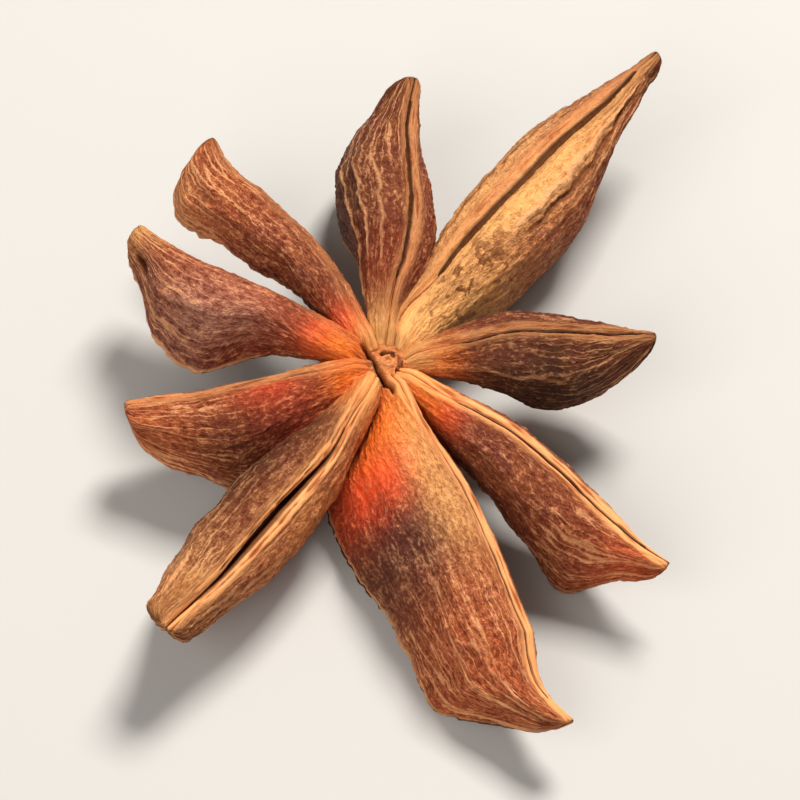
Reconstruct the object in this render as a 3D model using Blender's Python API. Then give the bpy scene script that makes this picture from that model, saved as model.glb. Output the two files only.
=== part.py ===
"""Star anise: a dried star of nine follicles round a short column, with the loose seeds inside.

The star lies flat with its seams up. The origin is the middle of the flat scar where the stalk broke off,
on the surface that the star lies on. All sizes below are millimetres, turned into metres by MM.
"""
import math
from collections import namedtuple

import bmesh
import bpy
import numpy as np
from mathutils import Vector

MM = 0.001

# The centre of the star
HUB_TOP = 6.6
ROOT_RADIUS = 0.9
COLUMN_SIDES = 20
STALK_RADIUS = 0.95

# The wall and the keel's thickness under the pocket, and the lips' size
WALL = 0.8
KEEL_WALL = 1.5
LIP_SIZE = 0.5

# The section, by share of its depth: where the flank meets the lip, where it is widest, and how full it is below
FLANK_TOP = 0.1
WIDEST = 0.34
FLANK_FULLNESS = 1.8

# The seam and the places of the keel values, as shares of a follicle's length
SEAM_FROM, SEAM_TO = 0.2, 0.93
KEEL_AT = (0.0, 0.15, 0.35, 0.55, 0.75, 0.9, 1.0)

# Shape of the mesh: places along a follicle, and points round half of its outside and of its pocket
STATIONS = 16
FLANK_POINTS = 6
POCKET_POINTS = 5

# A seed: its place and length as shares of the follicle's length, its longest, and the room left round it
SEED_AT = 0.55
SEED_SHARE = 0.34
LONGEST_SEED = 6.2
SEED_ROOM = 0.42

# Angles are in degrees. The azimuth is measured anticlockwise from +X, seen from above. The roll turns the
# seam to the anticlockwise side of the keel, in full from rolled_at on. The keel values are the depths from
# seam to keel at KEEL_AT.
Follicle = namedtuple(
    "Follicle", "name azimuth reach tip_height width tip_width roll arch dip bend slit seed keel rolled_at",
    defaults=(0.4,))
FOLLICLES = (
    Follicle("a", 123.9, 16.4, 6.7, 3.3, 0.53, -49, 0.6, 0.4, -0.1, 0.32, False,
             (1.9, 2.1, 2.45, 3.3, 3.7, 4.1, 3.4)),
    Follicle("b", 146.3, 15.4, 5.9, 5.3, 0.49, -61, 0.45, 0.1, 0.35, 0.32, True,
             (1.9, 2.05, 3.2, 5.4, 4.6, 2.5, 1.9)),
    Follicle("c", 187.3, 13.5, 4.8, 4.5, 0.5, -37, 0.2, 0.0, 0.45, 0.32, True,
             (2.4, 3.2, 4.8, 6.1, 4.6, 3.4, 2.0)),
    Follicle("d", 234.7, 18.8, 5.7, 4.4, 0.65, 34, 0.1, 0.1, 1.1, 0.75, True,
             (3.0, 4.2, 5.95, 7.35, 7.15, 3.9, 1.5)),
    Follicle("e", 295.5, 21.6, 3.7, 4.0, 0.32, 48, 0.6, 0.8, -0.1, 0.36, True,
             (4.3, 7.45, 7.9, 7.05, 6.7, 3.05, 1.45), 0.2),
    Follicle("f", 322.5, 18.0, 4.5, 3.7, 0.2, 27, 0.65, 0.2, 0.2, 0.32, True,
             (3.1, 3.4, 3.9, 4.85, 5.7, 2.6, 1.2)),
    Follicle("g", 5.7, 13.9, 6.6, 4.9, 0.18, 11, 0.75, 0.0, 0.45, 0.32, True,
             (1.5, 2.4, 4.0, 5.75, 4.85, 3.0, 0.9)),
    Follicle("h", 53.1, 23.9, 6.8, 5.1, 0.21, 19, 0.3, 0.05, 1.45, 0.75, True,
             (3.1, 5.4, 7.0, 7.4, 3.5, 2.2, 1.0)),
    Follicle("i", 85.0, 17.7, 6.5, 4.8, 0.34, -37, 1.5, 0.2, 0.0, 0.40, True,
             (1.7, 2.6, 4.45, 6.35, 6.3, 4.2, 1.6)),
)


def smooth_step(value, low, high):
    share = min(max((value - low) / (high - low), 0.0), 1.0)
    return share * share * (3 - 2 * share)


def swell(share, power):
    """A rise from 0 to 1 and back as share goes from 0 to 1, rounder for a smaller power."""
    return math.sin(math.pi * min(max(share, 0.0), 1.0)) ** power


def keel_depth(follicle, along):
    """Depth from seam to keel: a smooth curve through the follicle's keel values that never overshoots."""
    steps = np.diff(KEEL_AT)
    slopes = np.diff(follicle.keel) / steps
    tangents = [slopes[0]]
    for before, after, step, next_step in zip(slopes, slopes[1:], steps, steps[1:]):
        if before * after <= 0:
            tangents.append(0.0)
            continue
        near, far = 2 * next_step + step, next_step + 2 * step
        tangents.append((near + far) / (near / before + far / after))
    tangents.append(slopes[-1])
    k = min(int(np.searchsorted(KEEL_AT, along, side="right")) - 1, len(steps) - 1)
    u = (along - KEEL_AT[k]) / steps[k]
    return (
        (1 + 2 * u) * (1 - u) ** 2 * follicle.keel[k]
        + u * (1 - u) ** 2 * steps[k] * tangents[k]
        + u * u * (3 - 2 * u) * follicle.keel[k + 1]
        + u * u * (u - 1) * steps[k] * tangents[k + 1]
    )


def end_taper(along):
    """Closes the last few hundredths of a follicle to a rounded tip."""
    share = min(max((along - 0.96) / 0.04, 0.0), 1.0)
    return 0.12 + 0.88 * math.sqrt(max(1 - share * share, 0.0))


def half_width(follicle, along):
    growth = 0.40 + 0.60 * smooth_step(along, 0.0, 0.5)
    narrowing = 1 - (1 - follicle.tip_width) * smooth_step(along, 0.6, 1.0)
    radius = ROOT_RADIUS + along * follicle.reach
    wedge = 0.3 + 0.33 * radius
    return min(follicle.width / 2 * growth * narrowing, wedge) * end_taper(along)


def seam_share(along):
    return (along - SEAM_FROM) / (SEAM_TO - SEAM_FROM)


def half_slit(follicle, along):
    return follicle.slit / 2 * swell(seam_share(along), 0.5)


def pocket_size(follicle, along):
    """Half width, roof and floor of the pocket that holds the seed, below the seam line."""
    depth = keel_depth(follicle, along) * end_taper(along)
    fullness = swell(seam_share(along), 0.6)
    half = max(half_width(follicle, along) - WALL, 0.05) * fullness
    roof = -min(1.8 * LIP_SIZE, 0.2 * depth)
    floor = -(depth - KEEL_WALL) * (0.45 + 0.55 * fullness)
    return half, roof, min(floor, roof - 0.3)


def flank_width(drop):
    """The section's half width as a share of the widest; drop runs from 0 at the seam to 1 at the sharp keel."""
    if drop < WIDEST:
        return math.sqrt(1 - (1 - drop / WIDEST) ** 2)
    return 1 - ((drop - WIDEST) / (1 - WIDEST)) ** FLANK_FULLNESS


def wrinkle(follicle, along, around):
    """Coarse lengthwise folds of the dried skin, in millimetres; around runs from 0 at the seam to 1."""
    phase = 1.7 * follicle.azimuth
    length = along * follicle.reach
    fold = math.sin(9.0 * around + 0.55 * length + phase) * math.sin(1.3 * length - 4.0 * around + 2 * phase)
    return 0.13 * fold * swell(around, 0.7) * smooth_step(along, 0.1, 0.3)


class Frame:
    """Where a follicle stands: its seam line and the directions across and up at each place along it."""

    def __init__(self, follicle):
        azimuth = math.radians(follicle.azimuth)
        out = Vector((math.cos(azimuth), math.sin(azimuth), 0))
        self.follicle = follicle
        self.start = out * ROOT_RADIUS + Vector((0, 0, HUB_TOP))
        chord = out * follicle.reach + Vector((0, 0, follicle.tip_height)) - self.start
        self.length = chord.length
        self.ahead = chord.normalized()
        self.side = Vector((-math.sin(azimuth), math.cos(azimuth), 0))
        self.lift = self.ahead.cross(self.side)

    def axes(self, along):
        roll = math.radians(self.follicle.roll) * (0.3 + 0.7 * smooth_step(along, 0.0, self.follicle.rolled_at))
        up = self.lift * math.cos(roll) + self.side * math.sin(roll)
        across = self.side * math.cos(roll) - self.lift * math.sin(roll)
        return across, up

    def point(self, along, across_by, up_by):
        """The point that lies across_by and up_by millimetres from the seam line."""
        across, up = self.axes(along)
        rise = self.follicle.arch * swell(along / 0.75, 1.3)
        rise -= self.follicle.dip * swell((along - 0.75) / 0.25, 1.0)
        bow = self.follicle.bend * swell(along, 1.0)
        seam = self.start + self.ahead * (self.length * along) + self.side * bow
        spot = (seam + up * (rise + up_by) + across * across_by) * MM
        # The keels that the star rests on are worn flat where they meet the ground
        spot.z = max(spot.z, 0.0)
        return spot


def outer_half(follicle, along):
    """Half of the outside, from the lip's edge at the seam down to the keel, as (across, up) pairs."""
    depth = keel_depth(follicle, along) * end_taper(along)
    half = half_width(follicle, along)
    lip = min(LIP_SIZE, 0.35 * half)
    pairs = [(0.0, -0.35 * lip), (0.55 * lip, 0.15 * lip), (1.35 * lip, -0.05 * lip)]
    for k in range(FLANK_POINTS + 1):
        around = k / FLANK_POINTS
        drop = FLANK_TOP + (1 - FLANK_TOP) * around
        pairs.append((half * flank_width(drop) + wrinkle(follicle, along, around), -depth * drop))
    opening = half_slit(follicle, along)
    pairs = [(across + opening * (1 + up / depth), up) for across, up in pairs]
    pairs[-1] = (0.0, pairs[-1][1])
    return pairs


def pocket_half(follicle, along):
    """Half of the pocket's wall, from the lip down to the pocket's floor."""
    half, roof, floor = pocket_size(follicle, along)
    opening = half_slit(follicle, along)
    pairs = []
    for k in range(POCKET_POINTS):
        angle = math.pi * k / (POCKET_POINTS - 1)
        drop = (1 - math.cos(angle)) / 2
        pairs.append((max(half * math.sin(angle), opening), roof + (floor - roof) * drop))
    pairs[-1] = (0.0, floor)
    return pairs


def follicle_stations():
    even = [k / STATIONS for k in range(STATIONS + 1)]
    kept = [along for along in even if min(abs(along - SEAM_FROM), abs(along - SEAM_TO)) > 0.02]
    return sorted(kept + [SEAM_FROM, SEAM_TO, 0.968, 0.988])


def follicle_mesh(bm, follicle):
    """A closed skin: the outside, and between the seam's two ends the pocket that the slit opens into."""
    frame = Frame(follicle)
    rings = []
    for along in follicle_stations():
        outside = outer_half(follicle, along)
        opened = SEAM_FROM < along < SEAM_TO
        has_pocket = SEAM_FROM <= along <= SEAM_TO

        def vert(across, up):
            return bm.verts.new(frame.point(along, across, up))

        right = [vert(*pair) for pair in outside]
        left = [vert(-across, up) for across, up in outside[1:-1]]
        left_edge = vert(-outside[0][0], outside[0][1]) if opened else right[0]
        skin = right + left[::-1] + [left_edge]
        lining = None
        if has_pocket:
            wall = pocket_half(follicle, along)
            if opened:
                near = [vert(-across, up) for across, up in wall]
                far = [vert(across, up) for across, up in wall[:-1]]
            else:
                near = [vert(0.0, up) for across, up in wall]
                far = near[:-1]
            lining = [left_edge] + near + far[::-1] + [right[0]]
        rings.append((skin, lining))
    for (skin, lining), (next_skin, next_lining) in zip(rings, rings[1:]):
        join_rings(bm, skin, next_skin)
        if lining and next_lining:
            join_rings(bm, lining, next_lining)
    for skin in (rings[0][0], rings[-1][0]):
        bm.faces.new(skin[:-1])


def join_rings(bm, ring, next_ring):
    """Faces between two rows of points; a side where two points are one becomes a triangle."""
    for a, b, c, d in zip(ring, ring[1:], next_ring[1:], next_ring):
        corners = list(dict.fromkeys((a, b, c, d)))
        if len(corners) >= 3:
            bm.faces.new(corners)


def column_mesh(bm):
    """The turned column in the middle, with a blunt top, and the stub of the stalk below it."""
    profile = (
        (0.0, 6.38), (0.5, 6.42), (0.95, 6.4), (1.35, 6.25), (1.9, 5.6), (2.3, 4.6),
        (2.35, 3.5), (1.9, 2.4), (1.2, 1.7), (STALK_RADIUS, 0.9), (STALK_RADIUS, 0.0),
    )
    top = bm.verts.new((0, 0, profile[0][1] * MM))
    rings = []
    for radius, height in profile[1:]:
        ring = []
        for k in range(COLUMN_SIDES):
            angle = 2 * math.pi * k / COLUMN_SIDES
            point = Vector((radius * math.cos(angle), radius * math.sin(angle), height))
            ring.append(bm.verts.new(point * MM))
        rings.append(ring)
    for k in range(COLUMN_SIDES):
        bm.faces.new((top, rings[0][k - 1], rings[0][k]))
    for ring, lower in zip(rings, rings[1:]):
        for k in range(COLUMN_SIDES):
            bm.faces.new((ring[k - 1], lower[k - 1], lower[k], ring[k]))
    bm.faces.new(rings[-1])


def seed_mesh(bm, follicle):
    """A flat seed that lies on edge in the pocket and follows its shape, narrower towards the column."""
    frame = Frame(follicle)
    half_long = min(SEED_SHARE, LONGEST_SEED / frame.length) / 2
    bmesh.ops.create_uvsphere(bm, u_segments=10, v_segments=7, radius=1.0)
    for vert in bm.verts:
        end, wide, high = vert.co.z, vert.co.x, vert.co.y
        along = SEED_AT + half_long * end
        half, roof, floor = pocket_size(follicle, along)
        plump = 1 - 0.25 * max(-end, 0.0) ** 2
        across = (half - SEED_ROOM) * plump * wide
        up = (roof + floor) / 2 + ((roof - floor) / 2 - 1.8 * SEED_ROOM) * plump * high
        vert.co = frame.point(along, across, up)


def make_material(name, colour, roughness):
    material = bpy.data.materials.new(name)
    material.use_nodes = True
    shader = material.node_tree.nodes["Principled BSDF"]
    shader.inputs["Base Color"].default_value = (*colour, 1.0)
    shader.inputs["Roughness"].default_value = roughness
    shader.inputs["Metallic"].default_value = 0.0
    return material


def make_object(name, build, material):
    """A new object whose mesh the build function fills, with its faces pointing outwards."""
    bm = bmesh.new()
    build(bm)
    bmesh.ops.recalc_face_normals(bm, faces=bm.faces)
    if bm.calc_volume(signed=True) < 0:
        bmesh.ops.reverse_faces(bm, faces=bm.faces)
    mesh = bpy.data.meshes.new(name)
    bm.to_mesh(mesh)
    bm.free()
    mesh.materials.append(material)
    mesh.shade_smooth()
    thing = bpy.data.objects.new(name, mesh)
    bpy.context.scene.collection.objects.link(thing)
    return thing


def make_pod(material):
    """The column and the nine follicles, fused into one body."""
    pod = make_object("pod", column_mesh, material)
    grown = bpy.data.collections.new("follicles")
    bpy.context.scene.collection.children.link(grown)
    for follicle in FOLLICLES:
        part = make_object("follicle_" + follicle.name, lambda bm: follicle_mesh(bm, follicle), material)
        bpy.context.scene.collection.objects.unlink(part)
        grown.objects.link(part)
    union = pod.modifiers.new("grown together", "BOOLEAN")
    union.operation = "UNION"
    union.operand_type = "COLLECTION"
    union.collection = grown
    union.solver = "MANIFOLD"
    bpy.context.view_layer.update()
    fused = bpy.data.meshes.new_from_object(pod.evaluated_get(bpy.context.evaluated_depsgraph_get()))
    pod.modifiers.clear()
    pod.data = fused
    fused.name = "pod"
    for part in list(grown.objects):
        bpy.data.objects.remove(part)
    bpy.data.collections.remove(grown)
    return pod


def main():
    for thing in list(bpy.data.objects):
        bpy.data.objects.remove(thing)
    skin = make_material("dried husk", (0.23, 0.085, 0.04), 0.62)
    seed_coat = make_material("seed coat", (0.16, 0.045, 0.012), 0.22)
    make_pod(skin)
    for follicle in FOLLICLES:
        if follicle.seed:
            make_object("seed_" + follicle.name, lambda bm: seed_mesh(bm, follicle), seed_coat)


main()
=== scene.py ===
"""Star anise: the looks of one dried star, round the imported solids.

The husk is a woody brown pod of nine boat-shaped follicles. Its skin dried into lengthwise folds and a fine
raised net, and the lips along each seam stayed smooth and tan. The seeds inside are hard, brown and glossy.
Sizes are millimetres, as in the solids, and MM turns them into metres.
"""
import math
from collections import namedtuple

import bpy
import numpy as np
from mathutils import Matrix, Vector


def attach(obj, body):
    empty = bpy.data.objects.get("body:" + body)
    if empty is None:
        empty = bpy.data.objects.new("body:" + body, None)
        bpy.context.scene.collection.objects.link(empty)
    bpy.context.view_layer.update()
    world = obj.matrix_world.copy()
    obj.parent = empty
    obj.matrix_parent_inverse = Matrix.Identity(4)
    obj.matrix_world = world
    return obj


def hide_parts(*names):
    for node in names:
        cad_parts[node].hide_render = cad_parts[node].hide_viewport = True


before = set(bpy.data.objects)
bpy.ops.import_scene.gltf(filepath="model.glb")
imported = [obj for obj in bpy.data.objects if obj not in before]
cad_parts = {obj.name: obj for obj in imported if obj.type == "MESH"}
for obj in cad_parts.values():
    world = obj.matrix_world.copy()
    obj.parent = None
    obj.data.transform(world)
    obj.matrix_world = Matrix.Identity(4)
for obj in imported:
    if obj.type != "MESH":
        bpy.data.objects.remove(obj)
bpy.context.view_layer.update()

MM = 0.001

# Sizes of the solids
HUB_TOP = 6.6
ROOT_RADIUS = 0.9
STALK_RADIUS = 0.95
WALL = 0.8
KEEL_WALL = 1.5
LIP_SIZE = 0.5
FLANK_TOP = 0.1
WIDEST = 0.34
FLANK_FULLNESS = 1.8
FLANK_POINTS = 6
ROOT_WIDTH = 0.4
NARROWS_FROM = 0.6
TAPER_FROM, BLUNT_TIP = 0.96, 0.12
ROLL_AT_ROOT = 0.3
ARCH_END = 0.75
COARSE_FOLD = 0.13
SEAM_FROM, SEAM_TO = 0.2, 0.93
KEEL_AT = (0.0, 0.15, 0.35, 0.55, 0.75, 0.9, 1.0)
SEED_AT = 0.55
SEED_SHARE = 0.34
LONGEST_SEED = 6.2
SEED_ROOM = 0.42

Follicle = namedtuple(
    "Follicle", "name azimuth reach tip_height width tip_width roll arch dip bend slit seed keel rolled_at",
    defaults=(0.4,))
FOLLICLES = (
    Follicle("a", 123.9, 16.4, 6.7, 3.3, 0.53, -49, 0.6, 0.4, -0.1, 0.32, False,
             (1.9, 2.1, 2.45, 3.3, 3.7, 4.1, 3.4)),
    Follicle("b", 146.3, 15.4, 5.9, 5.3, 0.49, -61, 0.45, 0.1, 0.35, 0.32, True,
             (1.9, 2.05, 3.2, 5.4, 4.6, 2.5, 1.9)),
    Follicle("c", 187.3, 13.5, 4.8, 4.5, 0.5, -37, 0.2, 0.0, 0.45, 0.32, True,
             (2.4, 3.2, 4.8, 6.1, 4.6, 3.4, 2.0)),
    Follicle("d", 234.7, 18.8, 5.7, 4.4, 0.65, 34, 0.1, 0.1, 1.1, 0.75, True,
             (3.0, 4.2, 5.95, 7.35, 7.15, 3.9, 1.5)),
    Follicle("e", 295.5, 21.6, 3.7, 4.0, 0.32, 48, 0.6, 0.8, -0.1, 0.36, True,
             (4.3, 7.45, 7.9, 7.05, 6.7, 3.05, 1.45), 0.2),
    Follicle("f", 322.5, 18.0, 4.5, 3.7, 0.2, 27, 0.65, 0.2, 0.2, 0.32, True,
             (3.1, 3.4, 3.9, 4.85, 5.7, 2.6, 1.2)),
    Follicle("g", 5.7, 13.9, 6.6, 4.9, 0.18, 11, 0.75, 0.0, 0.45, 0.32, True,
             (1.5, 2.4, 4.0, 5.75, 4.85, 3.0, 0.9)),
    Follicle("h", 53.1, 23.9, 6.8, 5.1, 0.21, 19, 0.3, 0.05, 1.45, 0.75, True,
             (3.1, 5.4, 7.0, 7.4, 3.5, 2.2, 1.0)),
    Follicle("i", 85.0, 17.7, 6.5, 4.8, 0.34, -37, 1.5, 0.2, 0.0, 0.40, True,
             (1.7, 2.6, 4.45, 6.35, 6.3, 4.2, 1.6)),
)

# How closely the skin is modelled: millimetres between points, and steps round the pockets, column and seeds
POINT_GAP = 0.1
COLUMN_GAP = 0.07
TIP_STATIONS = 10
POCKET_STEPS = 12
COLUMN_SIDES = 120
SEED_RINGS, SEED_SIDES = 32, 40

# Finer shape of the lips and edges, in millimetres
LIP_BULGE = 0.03
LIP_WIDTH = 0.55
SUTURE_DEPTH = 0.12
SEAM_SWAY = 0.06
OPEN_SEAM_SWAY = 0.018
KEEL_RIPPLE = 0.10
KEEL_CRINKLE = 0.06
ROOT_SINK = 0.5

# How fast the seam's bow fades down the pocket's wall, so that the pocket stays under the skin
BOW_FADE = 6.0

# The hole that the hooked beak of b leaves: where along and across its flank, its size and its depth
HOLE_ALONG, HOLE_ACROSS = 0.885, 0.67
HOLE_SIZE, HOLE_DEPTH = 0.36, 0.7

# The split beside the column: the direction across it in plan, how far off the middle it runs, where it
# starts and ends along itself, its half width, its depth and the heights between which it fades in
SPLIT_TURN = (0.866, 0.5)
SPLIT_OFF = 0.64
SPLIT_FROM, SPLIT_TO = -1.5, 2.3
SPLIT_WIDTH = 0.12
SPLIT_DEPTH = 0.55
SPLIT_FLOOR, SPLIT_TOP = 4.6, 5.6

# The column's outline from the middle of its top to the middle of the stalk's scar: radius and height
COLUMN_PROFILE = (
    (0.0, 6.42), (0.4, 6.46), (0.75, 6.42), (1.0, 6.28), (1.25, 6.04), (1.55, 5.7), (1.9, 5.25), (2.25, 4.6),
    (2.35, 3.5), (1.9, 2.4), (1.2, 1.7), (STALK_RADIUS, 0.9), (STALK_RADIUS, 0.06),
    (STALK_RADIUS - 0.06, 0.0), (0.6, 0.0), (0.3, 0.02), (0.0, 0.02),
)

# Dents in the column's top: where each lies, its half sizes and its depth. The curl stands up among them.
COLUMN_DENTS = (
    (0.0, 0.3, 0.26, 0.08, 0.3), (0.36, 0.18, 0.09, 0.16, 0.2), (0.75, -0.15, 0.09, 0.32, 0.28),
    (0.6, -0.75, 0.08, 0.22, 0.28),
)
CURL_AT, CURL_RADIUS, CURL_WIDTH, CURL_HEIGHT = (0.1, -0.12), 0.28, 0.1, 0.1

# How much of each follicle's lip shows as a smooth band, and how dark the suture between its lips is
LIPS = {"a": 0.2, "b": 0.2, "c": 0.45, "d": 0.8, "e": 0.9, "f": 0.9, "g": 0.35, "h": 0.35, "i": 0.4}
SUTURES = {"a": 0.25, "b": 0.2, "c": 0.5, "d": 0.9, "e": 1.0, "f": 1.0, "g": 0.9, "h": 1.0, "i": 1.0}

# How far apart the skin's pattern lies from one follicle to the next, and for the column
SKIN_APART = 7.3
COLUMN_SKIN = 90.0

# The dried skin, in millimetres: heights, and the spacing of its folds, wrinkles, lines, net and grain
FOLD_HEIGHT, FOLD_SPACING, FOLD_LENGTH = 0.07, 0.9, 6.0
WRINKLE_HEIGHT, WRINKLE_SPACING, WRINKLE_LENGTH = 0.04, 0.5, 1.6
LINE_HEIGHT, LINE_SPACING, LINE_LENGTH = 0.02, 0.42, 7.0
NET_HEIGHT, NET_CELL = 0.03, 0.3
HOLLOW_DEPTH, HOLLOW_SIZE = 0.16, 2.4
GRAIN_HEIGHT, GRAIN_SIZE = 0.02, 0.12
STALK_FIBRES = 0.035
WARP_SCALE, WARP_BY = 0.9, (0.9, 0.55, 0.0)
RELIEF = {
    "Fold Height": ("folds", FOLD_HEIGHT), "Wrinkle Height": ("wrinkles", WRINKLE_HEIGHT),
    "Net Height": ("net", NET_HEIGHT), "Grain Height": ("grain", GRAIN_HEIGHT),
    "Hollow Depth": ("hollows", HOLLOW_DEPTH),
}

# Where the dried seam bows aside: how far along, over what share of the length, and by how many millimetres
SEAM_BOWS = {
    "d": ((0.05, 0.08, 0.22), (0.28, 0.08, 0.18), (0.57, 0.18, -0.38)),
    "e": ((0.20, 0.09, -0.5),),
    "f": ((0.20, 0.10, -0.26), (0.55, 0.12, 0.12)),
    "g": ((0.30, 0.14, -0.35), (0.75, 0.10, 0.16)),
    "h": ((0.08, 0.08, 0.7), (0.52, 0.24, -1.1), (0.82, 0.12, -0.5)),
    "i": ((0.38, 0.22, 0.35),),
}

# The same for the flank that the roll turns away, which is drawn in there by a share of its width
TUCKS = {"e": (0.2, 0.1, 0.5), "i": (0.12, 0.12, 0.5)}

# How wide each slit stays between the dried lips, as a share of the solid's, and how soon its ends close
SLITS = {"d": (0.5, 1.6), "h": (0.8, 0.5)}
COMMON_SLIT = (0.5, 0.5)

# Folds that stand out on some follicles, or furrows where the height is below 0: where across the flank, from
# where to where along, and how high
FOLD_WIDTH = 0.12
FOLD_SWAY = 0.12
FOLD_FADE = 0.12
FOLDS = {
    "d": ((0.095, 0.08, 0.95, -0.10), (0.135, 0.10, 0.9, 0.10), (0.18, 0.10, 0.85, -0.09),
          (0.22, 0.12, 0.8, 0.05), (0.5, 0.2, 0.8, 0.05),
          (-0.08, 0.08, 0.95, -0.08), (-0.12, 0.12, 0.85, 0.07), (-0.17, 0.15, 0.8, -0.07)),
    "e": ((0.45, 0.62, 1.0, 0.06), (0.62, 0.68, 1.0, 0.06), (0.28, 0.55, 1.0, 0.05)),
    "g": ((0.42, 0.15, 0.7, 0.05),),
    "h": ((0.33, 0.36, 0.94, 0.34), (0.39, 0.38, 0.9, -0.22), (-0.3, 0.15, 0.9, -0.07)),
    "i": ((0.60, 0.08, 0.75, 0.14), (0.46, 0.2, 0.8, 0.09), (0.34, 0.15, 0.7, 0.07)),
}

# Colours of the husk, the seeds and the floor
BROWN = "9a552e"
PURPLE_BROWN = "80402e"
LIP_TAN = "ffb270"
LIP_BROWN = "a2501f"
PALE_RIDGE = "e4a470"
SHADE = "a0745c"
# The suture's own dark brown, also used as painted shade in the hole of b and the split beside the column
SUTURE_BROWN_AND_SHADE = "35170a"
# The pits' own dark brown, also used as painted shade in the furrows and the column's dents
PIT_BROWN_AND_FURROW_SHADE = "6a3214"
LINING = "d07c38"
SEED_BROWN = "7a3a1a"
SEED_DARK = "45200e"
FLOOR_PALE = "bebcb8"
# Of the kinds, dark is partly the husk's own dark brown and partly painted shade
KINDS = {"pink": "c6683c", "dusk": "b88470", "dark_and_shade": "3c1f06", "ash": "5c3a32", "crimson": "963218",
         "red": "ff5630", "orange": "ff7c22", "tan": "fab66c"}

# Patterns of the husk's colour: how the speckles and the lips' streaks are stretched, then what each noise
# reads, its scale, its detail and its roughness
SPECKLE_STRETCH = (0.6, 1.0, 1.0)
STREAKS = (7.0, 4.2, 1.0)
HUSK_NOISES = {
    "cloud": ("skin", 0.55, 4.0, 0.6), "blotch": ("skin", 1.7, 1.0, 0.5), "spots": ("skin", 1.3, 3.0, 0.6),
    "speckle": ("speckle", 5.0, 3.0, 0.8), "streaks": ("streaks", 1.0, 2.0, 0.5),
}

# Shares made from a pattern or a place: what each reads, between which values, and the share at each
HUSK_SHARES = {
    "clouded": ("cloud", 0.3, 0.7, 0.0, 1.0), "specks": ("speckle", 0.36, 0.66, 0.0, 1.0),
    "blotches": ("blotch", 0.35, 0.65, 0.0, 1.0), "spotted": ("spots", 0.55, 0.60, 0.0, 0.85),
    "streaked": ("streaks", 0.36, 0.53, 0.0, 1.0), "outer": ("along", 0.4, 0.9, 0.15, 1.0),
    "off red": ("red", 0.0, 1.0, 1.0, 0.2), "off tan": ("tan", 0.0, 1.0, 1.0, 0.3),
    "off dark_and_shade": ("dark_and_shade", 0.0, 1.0, 1.0, 0.4), "crested": ("crest", 0.02, 0.09, 0.0, 0.7),
    # Hole, furrow and split follow how deep the surface sinks there, for painted shade
    "hole": ("crest", -0.1, -0.3, 0.0, 0.95), "furrow": ("crest", -0.01, -0.06, 0.0, 0.75),
    "keel edge": ("off flank", 0.96, 0.99, 0.0, 0.85), "at seam": ("off seam", 0.05, 0.16, 0.9, 0.0),
    "in split": ("split", 0.0, 1.0, 0.0, 0.92), "rough": ("dry", 0.0, 1.0, 0.5, 0.68),
}

# Shares made from sums. Worn ridges and specks are paler, and the hollows between are darker and redder.
PALE_PARTS = {"outer lines": 0.75, "wrinkles": 0.15, "blotches": 0.18, "net": 0.10, "specks": 0.65}
HUSK_SUMS = (
    ("ragged", {"speckle": 1.2, "cloud": 0.9}, 0.75, 1.35, 0.55, 1.45),
    ("hollow", PALE_PARTS, 0.1, 0.7, 1.0, 0.0), ("worn", PALE_PARTS, 0.6, 1.15, 0.0, 0.8),
)

# Heights of the finest relief, in millimetres
FINE_HEIGHTS = {"wrinkles": 0.02, "net": 0.02, "folds": 0.02, "outer lines": LINE_HEIGHT, "specks": 0.06,
                "grain": GRAIN_HEIGHT}
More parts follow.
